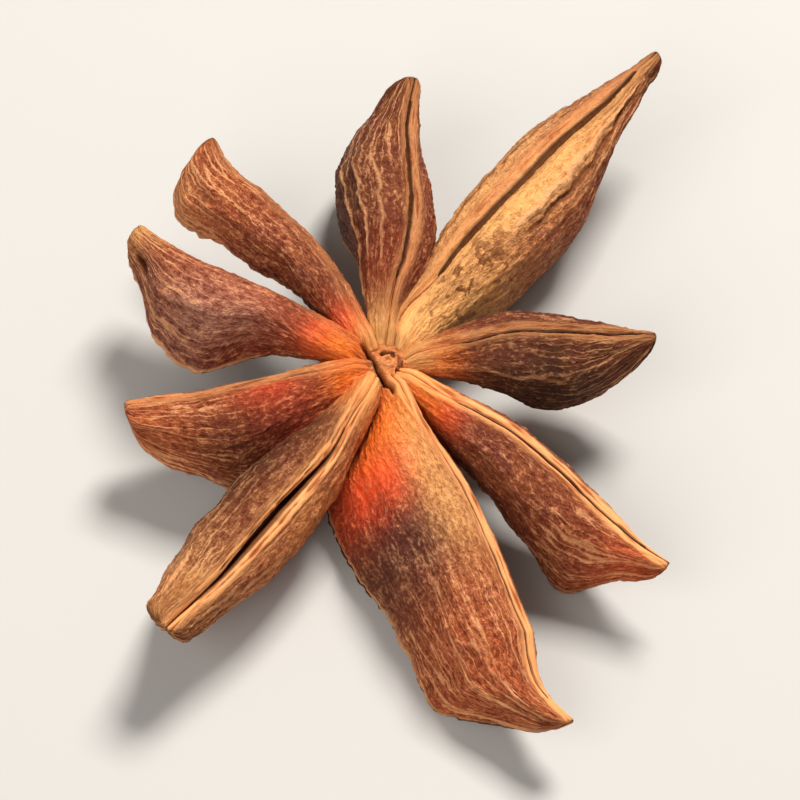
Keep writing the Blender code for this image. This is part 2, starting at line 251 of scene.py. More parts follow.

# Patches of colour: the kind, where along the follicle, and where across it, with 0 for the seam, 1 for the
# keel of the flank that the roll turns up and -1 for the keel of the other. Then come the half sizes that way
# and the strength. Pits darkens a patch in small spots.
# The dark patches are partly the husk's own dark brown and partly painted shade on lower flanks and on flanks
# turned from the light.
PATCHES = {
    "a": (("orange", 0.05, 0.3, 0.08, 0.9, 0.4), ("red", 0.12, 0.35, 0.06, 0.5, 0.6),
          ("crimson", 0.17, 0.4, 0.09, 0.6, 0.6),
          ("tan", 0.03, 0.0, 0.08, 0.3, 0.7), ("pink", 0.85, 0.6, 0.25, 0.6, 0.6),
          ("tan", 0.97, 0.9, 0.2, 0.4, 0.3)),
    "b": (("orange", 0.08, 0.3, 0.10, 1.0, 0.8), ("red", 0.18, 0.4, 0.06, 0.7, 0.6),
          ("crimson", 0.28, 0.6, 0.1, 0.5, 0.5), ("crimson", 0.36, 1.0, 0.14, 0.25, 0.6),
          ("ash", 0.52, 0.95, 0.2, 0.2, 0.5),
          ("pink", 0.46, 0.48, 0.24, 0.4, 0.7), ("pink", 0.7, 0.2, 0.25, 0.3, 0.4),
          ("dusk", 0.52, 0.62, 0.24, 0.35, 0.75),
          ("tan", 1.0, 0.1, 0.09, 0.6, 0.7)),
    "c": (("orange", 0.08, 0.2, 0.11, 0.8, 0.8), ("crimson", 0.30, 0.6, 0.2, 0.35, 0.9),
          ("red", 0.42, 0.2, 0.16, 0.14, 0.4), ("dark_and_shade", 0.5, 0.5, 0.2, 0.35, 0.6),
          ("pink", 0.95, 0.5, 0.24, 0.8, 1.0)),
    "d": (("orange", 0.06, 0.3, 0.08, 0.9, 0.6), ("dark_and_shade", 0.42, 0.65, 0.4, 0.4, 0.9),
          ("pink", 0.5, -0.5, 0.35, 0.5, 1.0), ("tan", 0.9, 0.2, 0.2, 0.7, 0.4),
          ("tan", 0.45, -0.3, 0.3, 0.3, 0.35),
          # The long tan band beside d's seam is partly the lip's own tan and partly painted light on that lip
          ("tan", 0.06, -0.1, 0.14, 0.4, 0.7), ("tan", 0.5, 0.06, 0.5, 0.12, 1.0)),
    "e": (("orange", 0.09, 0.42, 0.11, 0.45, 1.0), ("red", 0.22, 0.64, 0.10, 0.36, 1.0),
          ("ash", 0.41, 0.55, 0.14, 0.33, 0.85), ("dark_and_shade", 0.42, 0.95, 0.2, 0.25, 0.6),
          ("tan", 0.30, 0.28, 0.22, 0.13, 0.75), ("tan", 0.03, 0.0, 0.12, 0.3, 0.7),
          ("pink", 0.85, 0.4, 0.4, 0.8, 0.9)),
    "f": (("orange", 0.10, 0.3, 0.09, 0.9, 1.0), ("red", 0.18, 0.4, 0.08, 0.5, 0.8),
          ("tan", 0.03, 0.0, 0.12, 0.3, 0.7), ("pink", 0.97, 0.4, 0.22, 0.8, 1.0),
          ("red", 0.93, 0.4, 0.12, 0.8, 0.3)),
    "g": (("orange", 0.13, 0.35, 0.1, 0.7, 0.5), ("tan", 0.02, 0.0, 0.11, 1.0, 0.8),
          ("dark_and_shade", 0.56, 0.55, 0.38, 0.55, 1.0), ("dark_and_shade", 0.6, -0.5, 0.5, 0.4, 0.7)),
    "h": (("tan", 0.10, 0.35, 0.26, 0.9, 1.0), ("tan", 0.5, 0.18, 0.55, 0.22, 1.0),
          ("pits", 0.22, 0.36, 0.18, 0.35, 1.0), ("crimson", 0.62, 0.55, 0.34, 0.16, 0.45),
          ("pink", 0.36, 0.62, 0.2, 0.2, 0.4), ("dark_and_shade", 0.55, -0.62, 0.5, 0.25, 0.7),
          ("pink", 0.6, -0.12, 0.3, 0.08, 0.8), ("tan", 0.4, -0.25, 0.4, 0.14, 0.7)),
    "i": (("crimson", 0.2, 0.4, 0.14, 0.9, 0.5), ("tan", 0.02, 0.0, 0.11, 1.2, 0.9),
          ("dark_and_shade", 0.62, 0.75, 0.45, 0.5, 0.75)),
}


def smooth_step(value, low, high):
    share = np.clip((np.asarray(value, float) - low) / (high - low), 0.0, 1.0)
    return share * share * (3 - 2 * share)


def swell(share, power):
    """A rise from 0 to 1 and back as share goes from 0 to 1, rounder for a smaller power."""
    return np.sin(np.pi * np.clip(share, 0.0, 1.0)) ** power


def bell(off, wide):
    """A rise to 1 where off is 0, about as wide on each side as wide."""
    return np.exp(-(off / wide) ** 2)


def keel_depth(follicle, along):
    """Depth from seam to keel: a smooth curve through the follicle's keel values that never overshoots."""
    steps = np.diff(KEEL_AT)
    slopes = np.diff(follicle.keel) / steps
    tangents = [slopes[0]]
    for before, after, step, next_step in zip(slopes, slopes[1:], steps, steps[1:]):
        if before * after <= 0:
            tangents.append(0.0)
            continue
        near, far = 2 * next_step + step, next_step + 2 * step
        tangents.append((near + far) / (near / before + far / after))
    tangents.append(slopes[-1])
    keel, tangents = np.array(follicle.keel), np.array(tangents)
    k = np.minimum(np.searchsorted(KEEL_AT, along, side="right") - 1, len(steps) - 1)
    u = (along - np.array(KEEL_AT)[k]) / steps[k]
    return (
        (1 + 2 * u) * (1 - u) ** 2 * keel[k]
        + u * (1 - u) ** 2 * steps[k] * tangents[k]
        + u * u * (3 - 2 * u) * keel[k + 1]
        + u * u * (u - 1) * steps[k] * tangents[k + 1]
    )


def end_taper(along):
    """Closes the last few hundredths of a follicle to a rounded tip."""
    share = np.clip((along - TAPER_FROM) / (1 - TAPER_FROM), 0.0, 1.0)
    return BLUNT_TIP + (1 - BLUNT_TIP) * np.sqrt(np.maximum(1 - share * share, 0.0))


def half_width(follicle, along):
    """Half of the follicle's width, which leaves room for its neighbours near the column."""
    growth = ROOT_WIDTH + (1 - ROOT_WIDTH) * smooth_step(along, 0.0, 0.5)
    narrowing = 1 - (1 - follicle.tip_width) * smooth_step(along, NARROWS_FROM, 1.0)
    radius = ROOT_RADIUS + along * follicle.reach
    return np.minimum(follicle.width / 2 * growth * narrowing, 0.3 + 0.33 * radius) * end_taper(along)


def seam_share(along):
    """How far along the open part of the seam, from 0 to 1."""
    return (along - SEAM_FROM) / (SEAM_TO - SEAM_FROM)


def half_slit(follicle, along):
    """Half of the slit's width. Most dried lips nearly touch, and those of d do so at both of its ends."""
    share, power = SLITS.get(follicle.name, COMMON_SLIT)
    return share * follicle.slit / 2 * swell(seam_share(along), power)


def pocket_size(follicle, along):
    """Half width, roof and floor of the pocket that holds the seed, below the seam line."""
    depth = keel_depth(follicle, along) * end_taper(along)
    fullness = swell(seam_share(along), 0.6)
    half = np.maximum(half_width(follicle, along) - WALL, 0.05) * fullness
    roof = -np.minimum(1.8 * LIP_SIZE, 0.2 * depth)
    floor = -(depth - KEEL_WALL) * (0.45 + 0.55 * fullness)
    return half, roof, np.minimum(floor, roof - 0.3)


def flank_width(drop):
    """The section's half width as a share of the widest. Drop runs from 0 at the seam to 1 at the keel."""
    if drop < WIDEST:
        return math.sqrt(1 - (1 - drop / WIDEST) ** 2)
    return 1 - ((drop - WIDEST) / (1 - WIDEST)) ** FLANK_FULLNESS


def coarse_fold(follicle, along, around):
    """The solids' own lengthwise folds of the dried skin, in millimetres."""
    phase = 1.7 * follicle.azimuth
    length = along * follicle.reach
    fold = np.sin(9.0 * around + 0.55 * length + phase) * np.sin(1.3 * length - 4.0 * around + 2 * phase)
    return COARSE_FOLD * fold * swell(around, 0.7) * smooth_step(along, 0.1, 0.3)


class Frame:
    """Where a follicle stands: its seam line and the directions across and up at each place along it."""

    def __init__(self, follicle):
        azimuth = math.radians(follicle.azimuth)
        out = np.array((math.cos(azimuth), math.sin(azimuth), 0.0))
        self.follicle = follicle
        self.start = out * ROOT_RADIUS + np.array((0.0, 0.0, HUB_TOP))
        chord = out * follicle.reach + np.array((0.0, 0.0, follicle.tip_height)) - self.start
        self.length = float(np.linalg.norm(chord))
        self.ahead = chord / self.length
        self.side = np.array((-math.sin(azimuth), math.cos(azimuth), 0.0))
        self.lift = np.cross(self.ahead, self.side)

    def points(self, along, across_by, up_by):
        """The points that lie across_by and up_by millimetres from the seam line, for arrays that match."""
        along, across_by, up_by = np.broadcast_arrays(np.asarray(along, float), across_by, up_by)
        turned = smooth_step(along, 0.0, self.follicle.rolled_at)
        roll = np.radians(self.follicle.roll) * (ROLL_AT_ROOT + (1 - ROLL_AT_ROOT) * turned)
        sine, cosine = np.sin(roll)[..., None], np.cos(roll)[..., None]
        up = self.lift * cosine + self.side * sine
        across = self.side * cosine - self.lift * sine
        rise = self.follicle.arch * swell(along / ARCH_END, 1.3)
        rise = rise - self.follicle.dip * swell((along - ARCH_END) / (1 - ARCH_END), 1.0)
        bow = self.follicle.bend * swell(along, 1.0)
        seam = self.start + self.ahead * (self.length * along)[..., None] + self.side * bow[..., None]
        return seam + up * (rise + up_by)[..., None] + across * across_by[..., None]


def waves(length, wavelengths, phase):
    """An uneven wave between -1 and 1 along a length, made of a few plain ones, the long ones higher."""
    total = 0.0
    for k, wavelength in enumerate(wavelengths):
        total = total + wavelength * np.sin(2 * np.pi * length / wavelength + phase * (k + 1) + k)
    return total / sum(wavelengths)


def split_share(points):
    """How deep in the split beside the column each point lies, from 0 to 1."""
    x, y, z = points[..., 0], points[..., 1], points[..., 2]
    forth = SPLIT_TURN[1] * x - SPLIT_TURN[0] * y
    uneven = 0.04 * np.sin(2.9 * forth) + 0.02 * np.sin(7 * forth)
    off = SPLIT_TURN[0] * x + SPLIT_TURN[1] * y + SPLIT_OFF + uneven
    within = smooth_step(forth, SPLIT_FROM, SPLIT_FROM + 0.5)
    within = within * (1 - smooth_step(forth, SPLIT_TO - 0.6, SPLIT_TO))
    return bell(off, SPLIT_WIDTH) * within * smooth_step(z, SPLIT_FLOOR, SPLIT_TOP)


def spline_through(points, places):
    """Catmull-Rom curves through points[station, k], read at places, counted in points from the first."""
    count = points.shape[1]
    k = np.clip(np.floor(places).astype(int), 0, count - 2)
    u = (places - k)[None, :, None]
    before, here = points[:, np.maximum(k - 1, 0)], points[:, k]
    there, after = points[:, k + 1], points[:, np.minimum(k + 2, count - 1)]
    return 0.5 * (
        2 * here + (there - before) * u + (2 * before - 5 * here + 4 * there - after) * u ** 2
        + (3 * here - before - 3 * there + after) * u ** 3
    )


def section_guide(follicle, along):
    """The solid's own section at each station: (across, up) from the lip's edge at the seam to the keel."""
    depth = keel_depth(follicle, along) * end_taper(along)
    half = half_width(follicle, along)
    lip = np.minimum(LIP_SIZE, 0.35 * half)
    pairs = [(0 * lip, -0.35 * lip), (0.55 * lip, 0.15 * lip), (1.35 * lip, -0.05 * lip)]
    for k in range(FLANK_POINTS + 1):
        around = k / FLANK_POINTS
        drop = FLANK_TOP + (1 - FLANK_TOP) * around
        pairs.append((half * flank_width(drop) + coarse_fold(follicle, along, around), -depth * drop))
    opening = half_slit(follicle, along)
    pairs = [(across + opening * (1 + up / depth), up) for across, up in pairs]
    pairs[-1] = (0 * half, pairs[-1][1])
    return np.stack([np.stack(pair, axis=-1) for pair in pairs], axis=1)


def follicle_stations(length):
    """Places along a follicle, closer together at its rounded tip."""
    count = int(length / POINT_GAP)
    even = np.arange(count + 1) / count
    clear = np.minimum(abs(even - SEAM_FROM), abs(even - SEAM_TO)) > 0.3 / count
    tip = TAPER_FROM + (1 - TAPER_FROM) * np.sin(np.linspace(0.1, 1.0, TIP_STATIONS) * math.pi / 2)
    return np.unique(np.concatenate((even[clear & (even < TAPER_FROM)], (SEAM_FROM, SEAM_TO), tip)))


def outer_section(follicle, length, along):
    """Half of the outside at each station, and each point's place: 0 to 2 on the lip, then on to the keel."""
    guide = section_guide(follicle, along)
    spans = np.linalg.norm(np.diff(guide, axis=1), axis=2).mean(axis=0)
    places = [np.linspace(k, k + 1, max(2, round(span / POINT_GAP)), endpoint=False)
              for k, span in enumerate(spans)]
    places = np.concatenate(places + [[guide.shape[1] - 1]])
    points = spline_through(guide, places)
    strength = np.minimum(half_width(follicle, along) / 1.2, 1.0)[:, None]
    closed = (half_slit(follicle, along) < 0.02)[:, None]
    points[..., 1] += LIP_BULGE * np.sin(np.pi * np.clip(places / 2, 0, 1)) * strength
    groove = SUTURES[follicle.name] * bell(places, 0.35)
    points[..., 1] -= SUTURE_DEPTH * groove * strength * closed
    points[..., 1] -= ROOT_SINK * (1 - smooth_step(along * length, -0.3, 0.9))[:, None]
    return points, places


def seam_bow(follicle, along):
    """How far aside the seam bows, in millimetres."""
    return sum(by * bell(along - at, wide) for at, wide, by in SEAM_BOWS.get(follicle.name, ()))


def edge_shift(follicle, along, length, places, keel_place):
    """How far both flanks' points move across and up, for the seam's bow and sway and the keel's ripple."""
    phase = follicle.azimuth
    near_seam = np.exp(-places / 2.5)
    near_keel = (places / keel_place) ** 9
    fade = smooth_step(length, 1.5, 4.0)
    crinkle = KEEL_CRINKLE * waves(length, (0.93, 0.61, 0.43), phase) * fade * (places / keel_place) ** 30
    swayed = OPEN_SEAM_SWAY if follicle.slit > 0.5 else SEAM_SWAY
    sway = swayed * waves(length, (3.7, 1.9, 1.1), phase) * fade + seam_bow(follicle, along)
    side = KEEL_RIPPLE * waves(length, (4.1, 2.2, 1.3), 2 * phase) * fade
    drop = KEEL_RIPPLE * waves(length, (3.3, 1.9, 1.1), 3 * phase) * fade
    return sway * near_seam + side * near_keel, drop * near_keel + crinkle


def pocket_section(follicle, along):
    """Half of the pocket's wall at each station, from the lip down to the pocket's floor."""
    half, roof, floor = pocket_size(follicle, along)
    opening = half_slit(follicle, along)
    angle = np.pi * np.arange(POCKET_STEPS + 1) / POCKET_STEPS
    across = np.maximum(half[:, None] * np.sin(angle), opening[:, None])
    across[:, -1] = 0.0
    up = roof[:, None] + (floor - roof)[:, None] * (1 - np.cos(angle)) / 2
    return np.stack((across, up), axis=-1)


def fold_crest(follicle, length, along, across, widest):
    """How high the standing folds raise each point, in millimetres, and how deep the hole of b sinks it."""
    shown = across * -math.copysign(1, follicle.roll)
    crest = np.zeros(along.shape)
    for k, (shown_at, start, end, height) in enumerate(FOLDS.get(follicle.name, ())):
        sway = FOLD_SWAY * waves(length, (2.3, 1.1, 0.6), k + follicle.azimuth)
        off = (shown - shown_at) * widest - sway
        within = smooth_step(along, start, start + FOLD_FADE)
        within = within * (1 - smooth_step(along, end - FOLD_FADE, end))
        raised = height * within * bell(off, FOLD_WIDTH)
        crest = np.where(abs(raised) > abs(crest), raised, crest)
    if follicle.name == "b":
        off = ((along - HOLE_ALONG) * follicle.reach) ** 2 + ((shown - HOLE_ACROSS) * widest) ** 2
        crest = crest - HOLE_DEPTH * np.exp(-off / HOLE_SIZE ** 2)
    return crest


def colour_weights(follicle, along, across):
    """How strongly each kind of patch colours each point."""
    weights = {kind: np.zeros(along.shape) for kind in (*KINDS, "pits")}
    shown = across * -math.copysign(1, follicle.roll)
    for kind, along_at, shown_at, long, wide, strength in PATCHES[follicle.name]:
        reach = ((along - along_at) / long) ** 2 + ((shown - shown_at) / wide) ** 2
        weights[kind] = np.maximum(weights[kind], strength * np.exp(-reach))
    return weights


def quads_between(rows):
    """Faces between neighbouring rows of point numbers."""
    rows = np.asarray(rows)
    return np.stack((rows[:-1, :-1], rows[:-1, 1:], rows[1:, 1:], rows[1:, :-1]), axis=-1).reshape(-1, 4)


def new_mesh_object(name, points, faces, values):
    """A smooth mesh object from points in millimetres. Values holds named numbers or vectors for each."""
    mesh = bpy.data.meshes.new(name)
    mesh.from_pydata((np.asarray(points, float) * MM).tolist(), [], faces)
    for key, value in values.items():
        value = np.asarray(value, np.float32)
        kind, field = ("FLOAT", "value") if value.ndim == 1 else ("FLOAT_VECTOR", "vector")
        mesh.attributes.new(key, kind, "POINT").data.foreach_set(field, value.ravel())
    mesh.shade_smooth()
    thing = bpy.data.objects.new(name, mesh)
    bpy.context.scene.collection.objects.link(thing)
    return thing


def closed_rings(count, sides):
    """The point numbers of count rings of sides points, each with its first point again at its end."""
    rows = np.arange(count * sides).reshape(count, sides)
    return np.concatenate((rows, rows[:, :1]), axis=1)


def fan(middle, ring):
    """Faces from a middle point to a ring that has its first point again at its end."""
    return [[middle, a, b] for a, b in zip(ring, ring[1:])]


def follicle_object(number, follicle):
    """A closed skin: the outside, and between the seam's two ends the pocket that the slit opens into."""
    place = Frame(follicle)
    along = follicle_stations(place.length)
    outside, places = outer_section(follicle, place.length, along)
    keel_place = places[-1]
    length = along[:, None] * place.length
    shift_across, shift_up = edge_shift(follicle, along[:, None], length, places, keel_place)
    tuck_at, tuck_wide, tuck_by = TUCKS.get(follicle.name, (0.0, 1.0, 0.0))
    kept = 1 - tuck_by * bell(along - tuck_at, tuck_wide)[:, None]
    kept_right, kept_left = (kept, 1) if follicle.roll > 0 else (1, kept)
    across, up = outside[..., 0], outside[..., 1] + shift_up
    right = place.points(along[:, None], shift_across + kept_right * across, up)
    left = place.points(along[:, None], shift_across - kept_left * across, up)
    wall = pocket_section(follicle, along)
    sway = shift_across[:, :1] * np.exp(-BOW_FADE * np.linspace(0, 1, POCKET_STEPS + 1))
    far = place.points(along[:, None], sway + wall[..., 0], wall[..., 1])
    near = place.points(along[:, None], sway - wall[..., 0], wall[..., 1])
    steps = np.linalg.norm(np.diff(outside, axis=1), axis=2)
    girth = np.concatenate((np.zeros((len(along), 1)), np.cumsum(steps, axis=1)), axis=1)
    flank = places / keel_place
    widest = girth[:, -1].max()

    points, columns = [], {"along": [], "girth": [], "flank": [], "inside": []}

    def add_row(row, station, girths, flanks, lining):
        first = len(points)
        points.extend(row)
        columns["along"].extend([along[station]] * len(row))
        columns["girth"].extend(girths)
        columns["flank"].extend(flanks)
        columns["inside"].extend([lining] * len(row))
        return list(range(first, first + len(row)))

    skins, linings = [], []
    for k, share in enumerate(along):
        opened = SEAM_FROM < share < SEAM_TO
        outer_right = add_row(right[k], k, girth[k], flank, 0.0)
        outer_left = add_row(left[k][1:-1], k, -girth[k][1:-1], -flank[1:-1], 0.0)
        left_edge = add_row(left[k][:1], k, [0.0], [0.0], 0.0) if opened else outer_right[:1]
        skins.append(outer_right + outer_left[::-1] + left_edge)
        if SEAM_FROM <= share <= SEAM_TO:
            zeros = np.zeros(POCKET_STEPS + 1)
            inner_near = add_row(near[k] if opened else (near[k] + far[k]) / 2, k, zeros, zeros, 1.0)
            inner_far = add_row(far[k][:-1], k, zeros[1:], zeros[1:], 1.0) if opened else inner_near[:-1]
            linings.append(left_edge + inner_near + inner_far[::-1] + outer_right[:1])
    faces = np.concatenate((quads_between(skins), quads_between(linings))).tolist()
    for station, ring in ((0, skins[0][::-1]), (-1, skins[-1])):
        middle = np.mean([points[j] for j in ring[:-1]], axis=0)
        faces += fan(add_row([middle], station, [0.0], [0.0], 0.0)[0], ring)

    # From here on, each value holds one number for each point
    along, girth, flank, inside = map(np.array, columns.values())
    length = along * place.length
    points = np.array(points)
    split = split_share(points) * (1 - inside)
    points[:, 2] -= SPLIT_DEPTH * split
    lip = 1 - smooth_step(abs(girth), 0.6 * LIP_WIDTH, 1.5 * LIP_WIDTH)
    root = 1 - smooth_step(along, 0.02, 0.16)
    dried = 0.6 + 0.4 * smooth_step(along, 0.03, 0.3)
    values = {
        "skin": np.stack((length, flank * widest, np.full(len(along), SKIN_APART * number)), axis=-1),
        "seam": girth, "along": along, "flank": flank, "inside": inside,
        "lip": lip * LIPS[follicle.name] * (1 - 0.7 * root),
        "suture": SUTURES[follicle.name] * (1 - 0.5 * root), "split": split,
        "dry": dried * (1 - 0.85 * lip * LIPS[follicle.name]) * (1 - inside),
        "crest": fold_crest(follicle, length, along, flank, widest) * (1 - inside),
        **colour_weights(follicle, along, flank),
    }
    return new_mesh_object("husk_" + follicle.name, points, faces, values)


def column_object():
    """The column in the middle with its lumpy, split top, and the stub of the stalk with its scar."""
    profile = np.array(COLUMN_PROFILE)
    spans = np.linalg.norm(np.diff(profile, axis=0), axis=1)
    places = np.concatenate([np.linspace(k, k + 1, max(2, round(span / COLUMN_GAP)), endpoint=False)
                             for k, span in enumerate(spans)])[1:]
    curve = spline_through(profile[None], places)[0]
    angle = 2 * np.pi * np.arange(COLUMN_SIDES) / COLUMN_SIDES
    radius, height = curve[:, :1], curve[:, 1:]
    top = smooth_step(height, 5.2, 5.9)
    stalk = 1 - smooth_step(height, 1.2, 2.4)
    x, y = radius * np.cos(angle), radius * np.sin(angle)
    lumps = 0.12 * np.sin(4.1 * x + 1.0) * np.sin(3.6 * y - 0.5) + 0.06 * np.sin(7.5 * x - 5.0 * y)
    lumps = lumps - 0.3 * smooth_step(radius, 0.55, 1.1) * (0.5 + 0.5 * np.cos(9 * angle - 1.2)) ** 4
    dents = sum(deep * bell(x - at_x, wide) * bell(y - at_y, high)
                for at_x, at_y, wide, high, deep in COLUMN_DENTS)
    off_curl = np.hypot(x - CURL_AT[0], y - CURL_AT[1]) - CURL_RADIUS
    dents = dents - CURL_HEIGHT * bell(off_curl, CURL_WIDTH)
    fibres = STALK_FIBRES * waves(angle * STALK_RADIUS, (1.1, 0.53, 0.37), 1.0)
    fibres = fibres * stalk * smooth_step(height, 0.0, 0.3)
    lifted = height + (lumps - dents) * top
    widened = radius + fibres + 0.04 * np.sin(9 * angle) * (1 - top) * (1 - stalk)
    points = np.stack((widened * np.cos(angle), widened * np.sin(angle), np.maximum(lifted, 0.0)), axis=-1)
    points = points.reshape(-1, 3)
    points[:, 2] -= SPLIT_DEPTH * split_share(points)
    rows = closed_rings(len(places), COLUMN_SIDES)
    faces = quads_between(rows)[:, ::-1].tolist()
    first, last = len(points), len(points) + 1
    ends = ((0, 0, points[rows[0][:-1], 2].mean()), (0, 0, profile[-1][1]))
    points = np.concatenate((points, ends))
    faces += fan(first, rows[0].tolist()) + fan(last, rows[-1, ::-1].tolist())
    tip = smooth_step(points[:, 2], 5.6, 6.0)
    zeros = np.zeros(len(points))
    # The dents' depth also darkens them in the husk's colour, as painted shade
    crest = np.append(-0.6 * dents * top, (0.0, 0.0))
    # The column is darker below its top, where it meets the rays: painted shade
    values = {
        "skin": points + (0, 0, COLUMN_SKIN), "along": zeros + 0.02, "flank": zeros + 0.5,
        "seam": zeros + 1.0, "suture": zeros, "lip": zeros, "inside": zeros, "dry": 0.4 + 0.05 * tip,
        "crest": crest, "pits": 0.25 * tip, **{kind: zeros for kind in KINDS},
        "pink": 0.5 * tip, "tan": 0.25 * tip, "dark_and_shade": 0.3 - 0.2 * tip, "orange": 0.15 * tip,
        "split": split_share(points + (0, 0, SPLIT_DEPTH)),
    }
    return new_mesh_object("husk_column", points, faces, values)


def seed_object(follicle):
    """A flat, smooth seed on edge in its pocket, with the shape of the solid's and rounder ends."""
    place = Frame(follicle)
    half_long = min(SEED_SHARE, LONGEST_SEED / place.length) / 2
    polar = np.pi * np.arange(1, SEED_RINGS) / SEED_RINGS
    turn = 2 * np.pi * np.arange(SEED_SIDES) / SEED_SIDES
    end = np.concatenate((np.repeat(np.cos(polar), SEED_SIDES), (1.0, -1.0)))
    wide = np.concatenate((np.outer(np.sin(polar), np.cos(turn)).ravel(), (0.0, 0.0)))
    high = np.concatenate((np.outer(np.sin(polar), np.sin(turn)).ravel(), (0.0, 0.0)))
    along = SEED_AT + half_long * end
    half, roof, floor = pocket_size(follicle, along)
    plump = 1 - 0.25 * np.maximum(-end, 0.0) ** 2
    across = (half - SEED_ROOM) * plump * wide
    up = (roof + floor) / 2 + ((roof - floor) / 2 - 1.8 * SEED_ROOM) * plump * high
    points = place.points(along, across, up)
    rows = closed_rings(SEED_RINGS - 1, SEED_SIDES)
    faces = quads_between(rows).tolist()
    first, last = len(points) - 2, len(points) - 1
    faces += fan(first, rows[0, ::-1].tolist()) + fan(last, rows[-1].tolist())
    return new_mesh_object("seed_coat_" + follicle.name, points, faces, {})


def turn_faces_out(thing):
    """Turns the faces over where the mesh was wound inside out."""
    mesh = thing.data
    mesh.calc_loop_triangles()
    corners = np.empty(len(mesh.loop_triangles) * 3, np.int32)
    mesh.loop_triangles.foreach_get("vertices", corners)
    points = np.empty(len(mesh.vertices) * 3, np.float32)
    mesh.vertices.foreach_get("co", points)
    a, b, c = points.reshape(-1, 3).astype(float)[corners.reshape(-1, 3)].transpose(1, 0, 2)
    if np.einsum("ij,ij->", a, np.cross(b, c)) < 0:
        mesh.flip_normals()


def linear(colour):
    """The linear RGBA of an sRGB hex colour."""
    channels = [int(colour[k:k + 2], 16) / 255 for k in (0, 2, 4)]
    channels = [c / 12.92 if c <= 0.04045 else ((c + 0.055) / 1.055) ** 2.4 for c in channels]
    return (*channels, 1.0)


def add_node(tree, kind, inputs=None, **settings):
    """A new node. Each input, by name or number, gets a constant or the socket that feeds it."""
    node = tree.nodes.new(kind)
    for key, value in settings.items():
        setattr(node, key, value)
    for key, value in (inputs or {}).items():
        if isinstance(value, bpy.types.NodeSocket):
            tree.links.new(value, node.inputs[key])
        else:
            node.inputs[key].default_value = value
    return node


def skin_relief(tree, skin):
    """The dried skin's pattern, as sockets from 0 to 1, for a geometry tree and a shader tree alike.

    Skin holds the millimetres along the follicle and round it from the seam, and a number that sets each
    follicle apart.
    """
    warp = add_node(tree, "ShaderNodeTexNoise", {"Vector": skin, "Scale": WARP_SCALE, "Detail": 2.0})
    centred = add_node(tree, "ShaderNodeVectorMath", {0: warp.outputs["Color"], 1: (0.5, 0.5, 0.5)},
                       operation="SUBTRACT")
    warped = add_node(tree, "ShaderNodeVectorMath", {0: centred.outputs[0], 1: WARP_BY, 2: skin},
                      operation="MULTIPLY_ADD").outputs[0]
    found = {}
    for name, size, detail, width in (
            ("folds", (FOLD_LENGTH, FOLD_SPACING), 1.5, 0.06),
            ("lines", (LINE_LENGTH, LINE_SPACING), 0.5, 0.06),
            ("wrinkles", (WRINKLE_LENGTH, WRINKLE_SPACING), 1.0, 0.08)):
        stretched = add_node(tree, "ShaderNodeVectorMath", {0: warped, 1: (1 / size[0], 1 / size[1], 1.0)},
                             operation="MULTIPLY")
        wave = add_node(tree, "ShaderNodeTexNoise",
                        {"Vector": stretched.outputs[0], "Scale": 1.0, "Detail": detail, "Roughness": 0.45})
        away = add_node(tree, "ShaderNodeMath", {0: wave.outputs[0], 1: 0.5}, operation="SUBTRACT")
        away = add_node(tree, "ShaderNodeMath", {0: away.outputs[0]}, operation="ABSOLUTE")
        ridge = add_node(tree, "ShaderNodeMapRange", {0: away.outputs[0], 1: 0.0, 2: width, 3: 1.0, 4: 0.0},
                         interpolation_type="SMOOTHSTEP")
        found[name] = ridge.outputs[0]
    stretched = add_node(tree, "ShaderNodeVectorMath", {0: warped, 1: (0.7 / NET_CELL, 1 / NET_CELL, 1.0)},
                         operation="MULTIPLY")
    cells = add_node(tree, "ShaderNodeTexVoronoi", {"Vector": stretched.outputs[0], "Scale": 1.0},
                     feature="DISTANCE_TO_EDGE")
    net = add_node(tree, "ShaderNodeMapRange", {0: cells.outputs[0], 1: 0.0, 2: 0.22, 3: 1.0, 4: 0.0},
                   interpolation_type="SMOOTHSTEP")
    found["net"] = net.outputs[0]
    for name, size, detail in (("grain", GRAIN_SIZE, 2.0), ("hollows", HOLLOW_SIZE, 1.0)):
        noise = add_node(tree, "ShaderNodeTexNoise", {"Vector": skin, "Scale": 1 / size, "Detail": detail})
        found[name] = noise.outputs[0]
    return found


def weighted_sum(tree, parts):
    """The sum of sockets, each times its weight."""
    total = None
    for socket, weight in parts:
        node = add_node(tree, "ShaderNodeMath", {0: socket, 1: weight, 2: total or 0.0},
                        operation="MULTIPLY_ADD")
        total = node.outputs[0]
    return total


